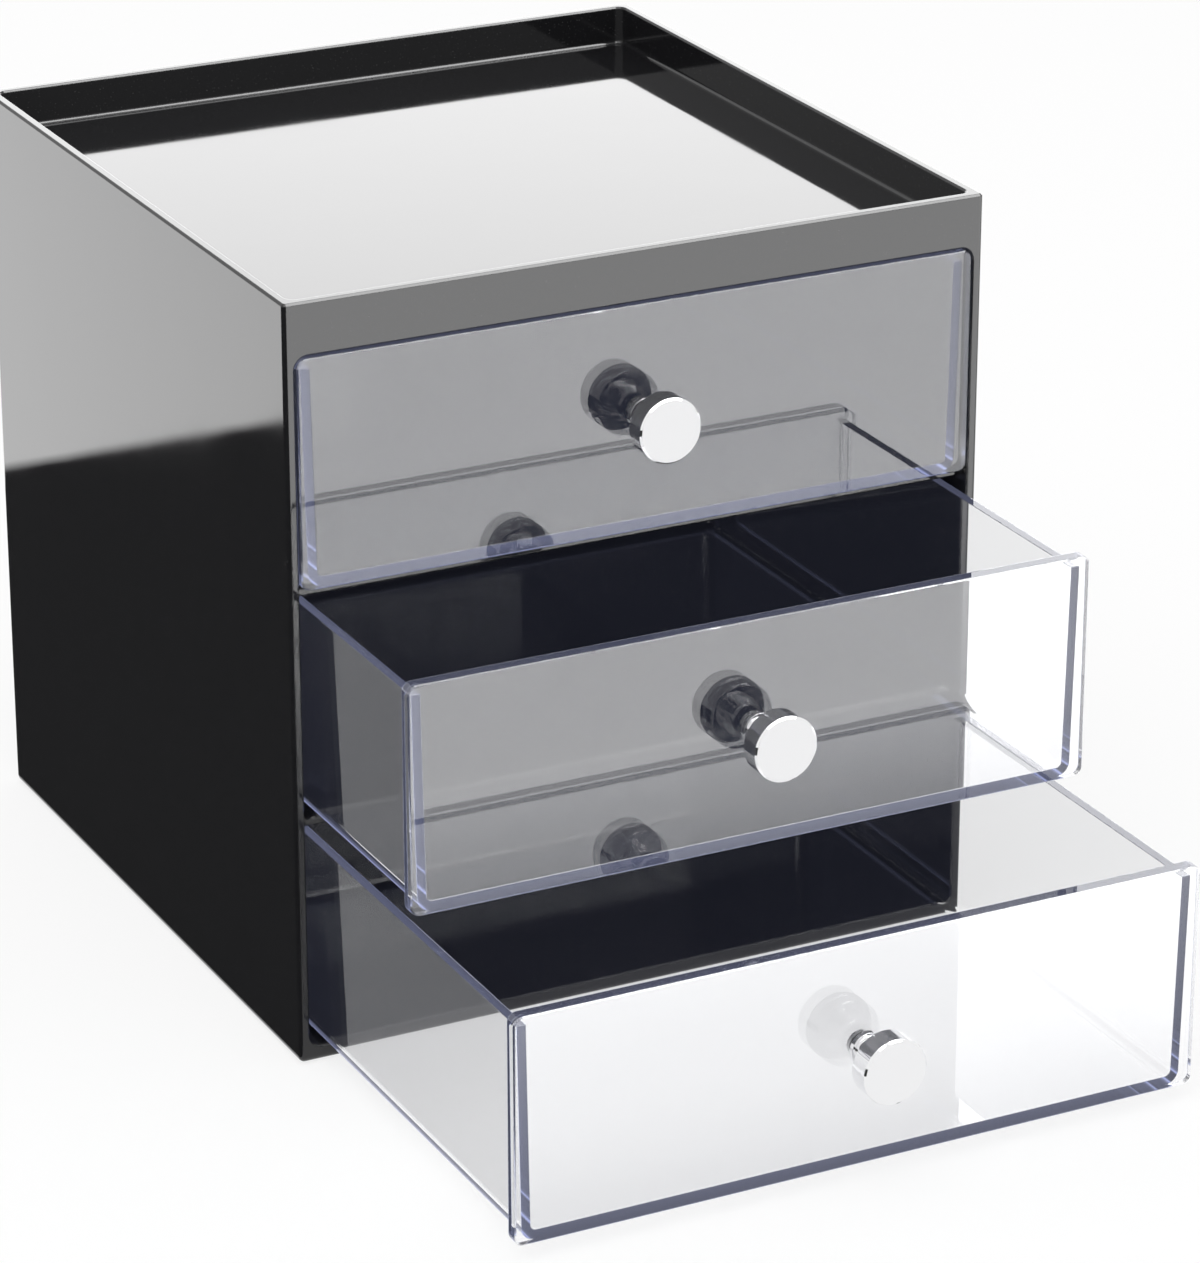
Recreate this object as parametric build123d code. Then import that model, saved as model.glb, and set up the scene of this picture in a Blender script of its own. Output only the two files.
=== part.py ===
from build123d import *
from math import radians, tan
import os

# Case, outside
CASE_W = 165.0
CASE_D = 170.0
CASE_H = 172.5
WALL = 2.4
FRONT_EDGE_R = 1.0
BACK_EDGE_R = 2.0
UNDER_EDGE_R = 1.8
TOP_EDGE = 0.5

# Case, drawer bays
BASE_T = 3.7
FASCIA_H = 11.8
SHELF_T = 2.0
OPENING_R = 3.0
MOUTH_EDGE = 0.4

# Case, tray on top
TRAY_DEPTH = 9.0
TRAY_CORNER_R = 2.0
TRAY_FLOOR_R = 0.8
TRAY_LIP = 0.4

# Drawer front panel, and how it sits in the case
SIDE_GAP = 0.4
UNDER_GAP = 0.3
TOP_GAP = 0.5
FRONT_GAP = 1.7
SEAT_GAP = 0.2
PANEL_PROUD = 0.3
PANEL_T = 3.0
PANEL_R = 2.0
PANEL_EDGE = 0.3

# Drawer tub behind the panel
TUB_INSET = 1.5
RIM_DROP = 2.8
TUB_WALL = 2.0
TUB_FLOOR = 2.0
TUB_DRAFT = 1.0
TUB_UNDER_R = 3.0
TUB_INSIDE_R = 1.3
TUB_CORNER_R = 4.0
BACK_GAP = 2.6

# Knob and the screw that holds it
KNOB_ABOVE_MIDDLE = 1.0
KNOB_REACH = 12.5
KNOB_HEAD_R = 7.3
KNOB_HEAD_T = 5.6
KNOB_BEVEL = 0.4
NECK_R = 3.2
FLARE = 1.2
COLLAR_R = 3.9
COLLAR_T = 1.2
SCREW_R = 1.5
SCREW_CLEARANCE = 0.15
THREAD_CLEARANCE = 0.05
SCREW_GRIP = 6.5
SCREW_HEAD_R = 2.9
SCREW_HEAD_T = 2.1
CROSS_W = 0.8
CROSS_SPAN = 3.2
CROSS_DEPTH = 1.1

# How far each drawer stands open
OPEN_TOP = 0.0
OPEN_MIDDLE = 52.0
OPEN_BOTTOM = 99.5

# Sizes that follow from the ones above
FRONT_Y = -CASE_D / 2
OPENING_W = CASE_W - 2 * WALL
OPENING_TOP = CASE_H - FASCIA_H
BAY_PITCH = (OPENING_TOP - BASE_T + FRONT_GAP - UNDER_GAP - TOP_GAP) / 3
BAY_D = CASE_D - WALL
SHELF_SETBACK = PANEL_T - PANEL_PROUD + SEAT_GAP
PANEL_W = OPENING_W - 2 * SIDE_GAP
PANEL_H = BAY_PITCH - FRONT_GAP
TUB_TOP_W = PANEL_W - 2 * TUB_INSET
TUB_TOP_Z = PANEL_H - RIM_DROP
TUB_LENGTH = BAY_D - BACK_GAP + PANEL_PROUD
KNOB_Z = PANEL_H / 2 + KNOB_ABOVE_MIDDLE


def bay_floor(level):
    """Height of the shelf or base that carries the drawer at this level, counted from 0 below."""
    return BASE_T + level * BAY_PITCH


def case_shell():
    """The outer block with its rounded corners."""
    block = Box(CASE_W, CASE_D, CASE_H, align=(Align.CENTER, Align.CENTER, Align.MIN))
    upright = block.edges().filter_by(Axis.Z).group_by(Axis.Y)
    block = fillet(upright[-1], BACK_EDGE_R)
    front = block.edges().filter_by(Axis.Z).group_by(Axis.Y)[0]
    block = fillet(front, FRONT_EDGE_R)
    block = fillet(block.faces().sort_by(Axis.Z)[0].edges(), UNDER_EDGE_R)
    return chamfer(block.faces().sort_by(Axis.Z)[-1].edges(), TOP_EDGE)


def tray_recess():
    """The shallow tray sunk into the top of the case."""
    floor_z = CASE_H - TRAY_DEPTH
    low = (Align.CENTER, Align.CENTER, Align.MIN)
    recess = Pos(0, 0, floor_z) * Box(OPENING_W, CASE_D - 2 * WALL, TRAY_DEPTH, align=low)
    recess = fillet(recess.edges().filter_by(Axis.Z), TRAY_CORNER_R)
    return fillet(recess.faces().sort_by(Axis.Z)[0].edges(), TRAY_FLOOR_R)


def opening():
    """The whole front opening, one rounded rectangle deep enough for the drawers."""
    height = OPENING_TOP - BASE_T
    place = Pos(0, FRONT_Y, BASE_T)
    block = place * Box(OPENING_W, BAY_D, height, align=(Align.CENTER, Align.MIN, Align.MIN))
    return fillet(block.edges().filter_by(Axis.Y), OPENING_R)


def shelf(level):
    """The full-width shelf under the drawer at this level, set back for the drawer fronts."""
    depth = BAY_D - SHELF_SETBACK
    plate = Box(OPENING_W, depth, SHELF_T, align=(Align.CENTER, Align.MIN, Align.MAX))
    plate = Pos(0, FRONT_Y + SHELF_SETBACK, bay_floor(level)) * plate
    nose = plate.edges().filter_by(Axis.X).group_by(Axis.Y)[0]
    return chamfer(nose, MOUTH_EDGE)


def make_case():
    body = case_shell() - tray_recess() - opening()
    mouth = [e for e in body.edges() if abs(e.center().Y - FRONT_Y) < 0.01
             and abs(e.center().X) < OPENING_W / 2 + 0.01
             and BASE_T - 0.01 < e.center().Z < OPENING_TOP + 0.01]
    body = chamfer(mouth, MOUTH_EDGE)
    lip = [e for e in body.edges() if abs(e.center().Z - CASE_H) < 0.01
           and abs(e.center().X) < OPENING_W / 2 + 0.01
           and abs(e.center().Y) < CASE_D / 2 - WALL + 0.01]
    body = chamfer(lip, TRAY_LIP)
    return body + shelf(1) + shelf(2)


def tub_section(top_w, under_z, corner_r):
    """A trapezium, narrower below by the draft, standing in the XZ plane."""
    under_w = top_w - 2 * (TUB_TOP_Z - under_z) * tan(radians(TUB_DRAFT))
    corners = [(-top_w / 2, TUB_TOP_Z), (-under_w / 2, under_z),
               (under_w / 2, under_z), (top_w / 2, TUB_TOP_Z)]
    face = make_face(Polyline(*corners, close=True))
    face = fillet(face.vertices().group_by(Axis.Y)[0], corner_r)
    return Plane.XZ * face


def panel():
    """The drawer front, a rounded plate whose face is at Y = 0."""
    plate = Box(PANEL_W, PANEL_T, PANEL_H, align=(Align.CENTER, Align.MIN, Align.MIN))
    plate = fillet(plate.edges().filter_by(Axis.Y), PANEL_R)
    return chamfer(plate.faces().sort_by(Axis.Y)[0].edges(), PANEL_EDGE)


def tub_outside():
    section = tub_section(TUB_TOP_W, 0, TUB_UNDER_R)
    body = extrude(section, amount=-(TUB_LENGTH - PANEL_T / 2))
    body = Pos(0, PANEL_T / 2, 0) * body
    back = body.faces().sort_by(Axis.Y)[-1]
    uprights = [e for e in back.edges() if abs(e.center().Z - TUB_TOP_Z / 2) < TUB_UNDER_R]
    return fillet(uprights, TUB_CORNER_R)


def tub_inside():
    section = tub_section(TUB_TOP_W - 2 * TUB_WALL, TUB_FLOOR, TUB_INSIDE_R)
    body = extrude(section, amount=-(TUB_LENGTH - PANEL_T - TUB_WALL))
    body = Pos(0, PANEL_T, 0) * body
    back = body.faces().sort_by(Axis.Y)[-1]
    uprights = [e for e in back.edges() if abs(e.center().Z - TUB_TOP_Z / 2) < TUB_UNDER_R]
    return fillet(uprights, TUB_CORNER_R - TUB_WALL)


def make_drawer():
    """Tub and front panel in one moulding, with the hole for the knob screw."""
    hole = Rot(X=90) * Cylinder(SCREW_R + SCREW_CLEARANCE, 3 * PANEL_T)
    body = panel() + tub_outside()
    body = body - tub_inside()
    return body - Pos(0, 0, KNOB_Z) * hole


def make_knob():
    """Collar, neck flaring out into a thick round head, turned about the Y axis."""
    under = KNOB_REACH - KNOB_HEAD_T
    corners = [
        (0, 0), (COLLAR_R, 0), (COLLAR_R, COLLAR_T), (NECK_R, COLLAR_T),
        (NECK_R, under - FLARE), (NECK_R + FLARE, under), (KNOB_HEAD_R - KNOB_BEVEL, under),
        (KNOB_HEAD_R, under + KNOB_BEVEL), (KNOB_HEAD_R, KNOB_REACH - KNOB_BEVEL),
        (KNOB_HEAD_R - KNOB_BEVEL, KNOB_REACH), (0, KNOB_REACH)]
    turned = revolve(Plane.XZ * make_face(Polyline(*corners, close=True)), Axis.Z)
    bore = Cylinder(SCREW_R + THREAD_CLEARANCE, SCREW_GRIP + 1,
                    align=(Align.CENTER, Align.CENTER, Align.MIN))
    return Rot(X=90) * (turned - bore)


def make_screw():
    """Pan-head screw whose head bears on the inner face of the panel."""
    tip = PANEL_T + SCREW_GRIP
    crown = SCREW_HEAD_T / 2
    corners = [
        (0, -SCREW_HEAD_T), (SCREW_HEAD_R - crown, -SCREW_HEAD_T), (SCREW_HEAD_R, -crown),
        (SCREW_HEAD_R, 0), (SCREW_R, 0), (SCREW_R, tip - SCREW_R / 3),
        (SCREW_R * 2 / 3, tip), (0, tip)]
    turned = revolve(Plane.XZ * make_face(Polyline(*corners, close=True)), Axis.Z)
    bar = Box(CROSS_SPAN, CROSS_W, 2 * CROSS_DEPTH)
    cross = bar + Rot(Z=90) * bar
    return Rot(X=90) * (turned - Pos(0, 0, -SCREW_HEAD_T) * cross)


def save(shape, node):
    shape.label = node
    export_step(shape, f"parts/{node}.step")


def main():
    os.makedirs("parts", exist_ok=True)
    save(make_case(), "case")
    drawer = make_drawer()
    knob = Pos(0, 0, KNOB_Z) * make_knob()
    screw = Pos(0, PANEL_T, KNOB_Z) * make_screw()
    places = [("bottom", 0, OPEN_BOTTOM), ("middle", 1, OPEN_MIDDLE), ("top", 2, OPEN_TOP)]
    for name, level, pulled in places:
        front = FRONT_Y - PANEL_PROUD - pulled
        place = Pos(0, front, bay_floor(level) + UNDER_GAP)
        save(place * drawer, f"drawer_{name}")
        save(place * knob, f"knob_{name}")
        save(place * screw, f"knob_screw_{name}")


main()
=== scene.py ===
"""The organizer in a white studio, seen from the photograph's angle. Lengths are in metres."""
import math

import bpy
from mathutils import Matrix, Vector


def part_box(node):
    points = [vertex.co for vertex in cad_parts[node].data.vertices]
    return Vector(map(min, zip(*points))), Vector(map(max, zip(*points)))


MM = 0.001

# The drawers, from the top down
LEVELS = ("top", "middle", "bottom")

# Camera, at the photograph's angle. The focal length is in pixels of a 1200 x 1263 image.
IMAGE_HEIGHT_PX = 1263
FOCAL_PX = 5318
SENSOR_MM = 36.0
AZIMUTH = -26.79
ELEVATION = 22.38
AIM = Vector((12.4, -40.0, 66.8)) * MM
CAMERA_DISTANCE = 1195.5 * MM
CLIP_START = 0.01
CLIP_END = 50

# Colours, linear
WHITE = (1.0, 1.0, 1.0, 1)
CASE_BLACK = (0.009, 0.009, 0.010, 1)
CASE_SPECK = (0.055, 0.055, 0.055, 1)
PLASTIC_DEPTH_TINT = (0.10, 0.25, 0.70, 1)
# Painted glow: the clear plastic emits this light throughout its volume, standing in for light
# carried along its edges
PLASTIC_PAINTED_GLOW = (0.60, 0.65, 1.0, 1)
CHROME = (0.86, 0.86, 0.87, 1)
STEEL = (0.62, 0.62, 0.63, 1)
FLOOR_WHITE = (0.90, 0.90, 0.90, 1)

# Surfaces. Polish is the range of roughness, scales and grain are in features per metre,
# and edges are softened by that radius.
CASE_IOR = 1.5
CASE_SPECK_SCALE = 2600
CASE_SPECK_NOISE = (0.70, 0.76)
CASE_POLISH_SCALE = 22
CASE_POLISH = (0.03, 0.07)
CASE_RIPPLE_SCALE = 35
CASE_RIPPLE_MM = 0.02
CASE_EDGE_MM = 0.25

PLASTIC_IOR = 1.49
PLASTIC_TINT_DENSITY = 3.0
# Strength of the painted glow that the clear plastic emits
PLASTIC_PAINTED_GLOW_STRENGTH = 4.2
PLASTIC_POLISH_SCALE = 40
PLASTIC_POLISH = (0.0, 0.02)
PLASTIC_RIPPLE_SCALE = 30
PLASTIC_RIPPLE_MM = 0.006
PLASTIC_EDGE_MM = 0.3

CHROME_POLISH = (0.02, 0.06)
CHROME_GRAIN = 400
STEEL_POLISH = (0.22, 0.34)
STEEL_GRAIN = 900
METAL_RIPPLE_MM = 0.002
METAL_EDGE_MM = 0.15

# Floor and world
FLOOR_SIZE = 12.0
FLOOR_DROP = 0.2 * MM
FLOOR_ROUGHNESS = 0.9
FLOOR_OWN_WHITE = 0.78
WORLD_STRENGTH = 1.0
WORLD_FILL = 0.85

# Floor cards. They start this far left of the case and lie this far over the ground.
CARD_CLEAR_OF_CASE = 1 * MM
CARD_LIFT = 0.3 * MM

SIDE_CARD_DARK = 0.04
SIDE_CARD_STRENGTH = 2.4
SIDE_CARD_FRONT_LEFT = (-1.2, -1.2)
SIDE_CARD_BACK = 2.0
SIDE_CARD_DARK_BEHIND_CASE = 205 * MM
SIDE_CARD_FADE = 8 * MM

FRONT_CARD_STRENGTH = 3.3
FRONT_CARD_NEAR = 0.20
FRONT_CARD_FAR_RIGHT = (1.4, 1.6)
FRONT_CARD_FULL_FROM = 0.30
FRONT_CARD_FADE = 0.10

# Lamps
KEY_WATTS = 14
BACK_CARD_STRENGTH = 2.8
TOP_CARD_STRENGTH = 10.0


def nodes_of(name):
    """A new material with an empty node tree and its output."""
    mat = bpy.data.materials.new(name)
    mat.use_nodes = True
    mat.node_tree.nodes.clear()
    out = mat.node_tree.nodes.new("ShaderNodeOutputMaterial")
    return mat, mat.node_tree.nodes, mat.node_tree.links, out


def surface(nodes, links, out, colour, **sockets):
    """A Principled shader wired to the output, with its plain values on its own sockets."""
    shader = nodes.new("ShaderNodeBsdfPrincipled")
    shader.inputs["Base Color"].default_value = colour
    for name, value in sockets.items():
        shader.inputs[name.replace("_", " ")].default_value = value
    links.new(shader.outputs[0], out.inputs["Surface"])
    return shader


def added(nodes, links, first, second):
    """Two shaders added up."""
    both = nodes.new("ShaderNodeAddShader")
    links.new(first, both.inputs[0])
    links.new(second, both.inputs[1])
    return both.outputs[0]


def mixed(nodes, links, share, first, second):
    """The first shader where share is 0 and the second where it is 1."""
    mix = nodes.new("ShaderNodeMixShader")
    links.new(share, mix.inputs["Fac"])
    links.new(first, mix.inputs[1])
    links.new(second, mix.inputs[2])
    return mix.outputs[0]


def larger(nodes, links, first, second):
    """The larger of two values."""
    node = nodes.new("ShaderNodeMath")
    node.operation = "MAXIMUM"
    links.new(first, node.inputs[0])
    links.new(second, node.inputs[1])
    return node.outputs[0]


def noise(nodes, links, scale, detail=3.0):
    """Noise in the piece's own coordinates, scale in features per metre."""
    where = nodes.new("ShaderNodeTexCoord")
    tex = nodes.new("ShaderNodeTexNoise")
    tex.inputs["Scale"].default_value = scale
    tex.inputs["Detail"].default_value = detail
    links.new(where.outputs["Object"], tex.inputs["Vector"])
    return tex.outputs["Fac"]


def spread(nodes, links, value, low, high, from_low=0.3, from_high=0.7):
    """value, which mostly lies between from_low and from_high, spread over low to high."""
    ramp = nodes.new("ShaderNodeMapRange")
    ramp.inputs["From Min"].default_value = from_low
    ramp.inputs["From Max"].default_value = from_high
    ramp.inputs["To Min"].default_value = low
    ramp.inputs["To Max"].default_value = high
    links.new(value, ramp.inputs["Value"])
    return ramp.outputs["Result"]


def polish(nodes, links, shader, scale, rough):
    """Roughness that wanders between the two values of rough."""
    level = spread(nodes, links, noise(nodes, links, scale), *rough)
    links.new(level, shader.inputs["Roughness"])


def bump(nodes, links, shader, height, depth_mm, edge_mm):
    """Bump of that depth on the shader's normal, over edges softened by edge_mm."""
    node = nodes.new("ShaderNodeBump")
    node.inputs["Distance"].default_value = depth_mm * MM
    links.new(height, node.inputs["Height"])
    edge = nodes.new("ShaderNodeBevel")
    edge.inputs["Radius"].default_value = edge_mm * MM
    links.new(edge.outputs["Normal"], node.inputs["Normal"])
    links.new(node.outputs["Normal"], shader.inputs["Normal"])


def case_material():
    """High-gloss black moulding: fine specks, faint ripple, uneven polish."""
    mat, nodes, links, out = nodes_of("case_black")
    shader = surface(nodes, links, out, CASE_BLACK, IOR=CASE_IOR)
    specks = spread(nodes, links, noise(nodes, links, CASE_SPECK_SCALE, detail=1),
                    0, 1, *CASE_SPECK_NOISE)
    mix = nodes.new("ShaderNodeMix")
    mix.data_type = "RGBA"
    mix.inputs["A"].default_value = CASE_BLACK
    mix.inputs["B"].default_value = CASE_SPECK
    links.new(specks, mix.inputs["Factor"])
    links.new(mix.outputs["Result"], shader.inputs["Base Color"])
    polish(nodes, links, shader, CASE_POLISH_SCALE, CASE_POLISH)
    ripple = noise(nodes, links, CASE_RIPPLE_SCALE, detail=2)
    bump(nodes, links, shader, ripple, CASE_RIPPLE_MM, CASE_EDGE_MM)
    return mat


def drawer_material():
    """Clear moulding with a real violet-blue absorption tint where light runs far through it, and
    a painted violet-blue glow: the plastic itself emits light, strongest where the view passes far
    through it.
    """
    mat, nodes, links, out = nodes_of("drawer_clear")
    shader = surface(nodes, links, out, WHITE, IOR=PLASTIC_IOR, Transmission_Weight=1.0)
    depth = nodes.new("ShaderNodeVolumeAbsorption")
    depth.inputs["Color"].default_value = PLASTIC_DEPTH_TINT
    depth.inputs["Density"].default_value = PLASTIC_TINT_DENSITY
    # Painted glow: the volume emits light, brightest along long paths such as the edges, though
    # the plastic is no lamp
    painted_glow = nodes.new("ShaderNodeEmission")
    painted_glow.inputs["Color"].default_value = PLASTIC_PAINTED_GLOW
    painted_glow.inputs["Strength"].default_value = PLASTIC_PAINTED_GLOW_STRENGTH
    inside = added(nodes, links, depth.outputs[0], painted_glow.outputs[0])
    links.new(inside, out.inputs["Volume"])
    polish(nodes, links, shader, PLASTIC_POLISH_SCALE, PLASTIC_POLISH)
    ripple = noise(nodes, links, PLASTIC_RIPPLE_SCALE, detail=1)
    bump(nodes, links, shader, ripple, PLASTIC_RIPPLE_MM, PLASTIC_EDGE_MM)
    return mat


def metal_material(name, colour, rough, grain):
    """Turned metal: uneven polish and a ripple twice as coarse as its grain."""
    mat, nodes, links, out = nodes_of(name)
    shader = surface(nodes, links, out, colour, Metallic=1.0)
    polish(nodes, links, shader, grain, rough)
    bump(nodes, links, shader, noise(nodes, links, grain / 2), METAL_RIPPLE_MM, METAL_EDGE_MM)
    return mat


def dress(node, mat):
    """Give a piece its material."""
    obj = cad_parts[node]
    obj.data.materials.clear()
    obj.data.materials.append(mat)


def stage_plane(name, low, high, z):
    """A level plane between two corners."""
    mesh = bpy.data.meshes.new(name)
    corners = [(low[0], low[1], z), (high[0], low[1], z),
               (high[0], high[1], z), (low[0], high[1], z)]
    mesh.from_pydata(corners, [], [(0, 1, 2, 3)])
    obj = bpy.data.objects.new(name, mesh)
    bpy.context.scene.collection.objects.link(obj)
    return obj


def only_in_reflections(obj):
    """Leave it to be seen in glossy surfaces and by nothing else."""
    obj.visible_camera = False
    obj.visible_diffuse = False
    obj.visible_transmission = False
    obj.visible_volume_scatter = False
    obj.visible_shadow = False


def glow(name, near, far, edge, fade, over_floor):
    """Light of strength near up to Y = edge - fade, and of strength far from Y = edge on.

    Y is the card's own. With over_floor the light is added to what the floor below shows,
    and without it the light stands in for the floor.
    """
    mat, nodes, links, out = nodes_of(name)
    where = nodes.new("ShaderNodeTexCoord")
    axes = nodes.new("ShaderNodeSeparateXYZ")
    links.new(where.outputs["Object"], axes.inputs[0])
    light = nodes.new("ShaderNodeEmission")
    level = spread(nodes, links, axes.outputs["Y"], near, far, edge - fade, edge)
    links.new(level, light.inputs["Strength"])
    shown = light.outputs[0]
    if over_floor:
        see_through = nodes.new("ShaderNodeBsdfTransparent")
        shown = added(nodes, links, shown, see_through.outputs[0])
    links.new(shown, out.inputs["Surface"])
    return mat


def seen_directly(nodes, links):
    """1 for camera, glossy and transmission rays, 0 for the rays that light the object."""
    rays = nodes.new("ShaderNodeLightPath").outputs
    camera_or_gloss = larger(nodes, links, rays["Is Camera Ray"], rays["Is Glossy Ray"])
    return larger(nodes, links, camera_or_gloss, rays["Is Transmission Ray"])


def make_floor():
    """A floor that takes shadows, mixed with a white of its own where it is seen directly."""
    half = FLOOR_SIZE / 2
    floor = stage_plane("floor", (-half, -half), (half, half), -FLOOR_DROP)
    mat, nodes, links, out = nodes_of("floor_white")
    shadowed = surface(nodes, links, out, FLOOR_WHITE,
                       Roughness=FLOOR_ROUGHNESS, Specular_IOR_Level=0.0)
    white = nodes.new("ShaderNodeEmission")
    share = nodes.new("ShaderNodeMath")
    share.operation = "MULTIPLY"
    share.inputs[1].default_value = FLOOR_OWN_WHITE
    links.new(seen_directly(nodes, links), share.inputs[0])
    shown = mixed(nodes, links, share.outputs[0], shadowed.outputs[0], white.outputs[0])
    links.new(shown, out.inputs["Surface"])
    floor.data.materials.append(mat)


def reflected_card(name, low, high, glowing):
    """A level card just over the floor that only shows in glossy surfaces."""
    card = stage_plane(name, low, high, CARD_LIFT)
    card.data.materials.append(glowing)
    only_in_reflections(card)
    return card


def not_on(name, light, objects):
    """Keep that light off those objects."""
    left_out = bpy.data.collections.new(name)
    for obj in objects:
        left_out.objects.link(obj)
    for entry in left_out.collection_objects:
        entry.light_linking.link_state = "EXCLUDE"
    light.light_linking.receiver_collection = left_out


def make_cards():
    """What the glossy upright faces mirror below the horizon.

    The card on the left is dark, and light well behind the case. The front card grows light
    away from the case: it is drawn behind the case and flipped to its front.
    """
    case_low, case_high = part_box("case")
    left = case_low.x - CARD_CLEAR_OF_CASE
    side_glow = glow("card_left", SIDE_CARD_DARK, SIDE_CARD_STRENGTH,
                     case_high.y + SIDE_CARD_DARK_BEHIND_CASE, SIDE_CARD_FADE, over_floor=False)
    reflected_card("card_left", SIDE_CARD_FRONT_LEFT, (left, SIDE_CARD_BACK), side_glow)

    front_glow = glow("card_front", 0, FRONT_CARD_STRENGTH,
                      FRONT_CARD_FULL_FROM, FRONT_CARD_FADE, over_floor=True)
    front = reflected_card("card_front", (left, FRONT_CARD_NEAR), FRONT_CARD_FAR_RIGHT, front_glow)
    front.scale.y = -1
    front.visible_transmission = True
    not_on("no_front_card", front, [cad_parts[f"knob_{level}"] for level in LEVELS])


def area_light(name, place, target, size, watts):
    """A rectangular lamp that faces the target."""
    data = bpy.data.lights.new(name, "AREA")
    data.shape = "RECTANGLE"
    data.size, data.size_y = size
    data.energy = watts
    lamp = bpy.data.objects.new(name, data)
    lamp.location = place
    lamp.rotation_euler = (Vector(target) - Vector(place)).to_track_quat("-Z", "Y").to_euler()
    bpy.context.scene.collection.objects.link(lamp)
    return lamp


def soft_box(name, place, target, size, strength):
    """A softbox of that brightness that shows in glossy surfaces and lights nothing else."""
    box = area_light(name, place, target, size, strength * math.pi * size[0] * size[1])
    only_in_reflections(box)


def make_lights():
    """One lamp for the shadows, and two softboxes for the gloss."""
    key = area_light("key", place=(-0.5, -0.7, 1.7), target=(0, 0, 0.05),
                     size=(1.4, 1.4), watts=KEY_WATTS)
    key.visible_camera = False
    soft_box("back_card", place=(0.9, 1.9, 0.75), target=(0.05, 0, 0.17),
             size=(2.6, 1.3), strength=BACK_CARD_STRENGTH)
    soft_box("top_card", place=(0.5, -0.5, 1.1), target=(0, -0.05, 0.1),
             size=(1.0, 0.8), strength=TOP_CARD_STRENGTH)


def make_world():
    """White where the camera, gloss and clear plastic look; a little less as fill light."""
    world = bpy.data.worlds.new("studio")
    bpy.context.scene.world = world
    world.use_nodes = True
    nodes, links = world.node_tree.nodes, world.node_tree.links
    nodes.clear()
    out = nodes.new("ShaderNodeOutputWorld")
    seen = nodes.new("ShaderNodeBackground")
    seen.inputs["Strength"].default_value = WORLD_STRENGTH
    fill = nodes.new("ShaderNodeBackground")
    fill.inputs["Strength"].default_value = WORLD_FILL
    for node in (seen, fill):
        node.inputs["Color"].default_value = WHITE
    share = seen_directly(nodes, links)
    links.new(mixed(nodes, links, share, fill.outputs[0], seen.outputs[0]), out.inputs["Surface"])


def make_camera():
    """The photograph's camera, looking at AIM."""
    data = bpy.data.cameras.new("camera")
    data.sensor_width = SENSOR_MM
    data.lens = SENSOR_MM * FOCAL_PX / IMAGE_HEIGHT_PX
    data.clip_start, data.clip_end = CLIP_START, CLIP_END
    az, el = math.radians(AZIMUTH), math.radians(ELEVATION)
    back = Vector((math.sin(az) * math.cos(el), -math.cos(az) * math.cos(el), math.sin(el)))
    camera = bpy.data.objects.new("camera", data)
    camera.location = AIM + back * CAMERA_DISTANCE
    camera.rotation_euler = (-back).to_track_quat("-Z", "Y").to_euler()
    bpy.context.scene.collection.objects.link(camera)
    bpy.context.scene.camera = camera


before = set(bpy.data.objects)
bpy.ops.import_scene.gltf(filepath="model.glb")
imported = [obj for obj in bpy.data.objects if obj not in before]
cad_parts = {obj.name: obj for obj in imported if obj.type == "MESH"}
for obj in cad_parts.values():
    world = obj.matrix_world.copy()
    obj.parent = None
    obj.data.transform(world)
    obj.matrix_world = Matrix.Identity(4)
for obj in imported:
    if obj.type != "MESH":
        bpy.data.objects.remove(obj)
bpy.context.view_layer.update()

case_black = case_material()
drawer_clear = drawer_material()
knob_chrome = metal_material("knob_chrome", CHROME, CHROME_POLISH, CHROME_GRAIN)
screw_steel = metal_material("screw_steel", STEEL, STEEL_POLISH, STEEL_GRAIN)
dress("case", case_black)
for level in LEVELS:
    dress(f"drawer_{level}", drawer_clear)
    dress(f"knob_{level}", knob_chrome)
    dress(f"knob_screw_{level}", screw_steel)

make_floor()
make_cards()
make_lights()
make_world()
make_camera()
bpy.context.scene.view_settings.view_transform = "Standard"
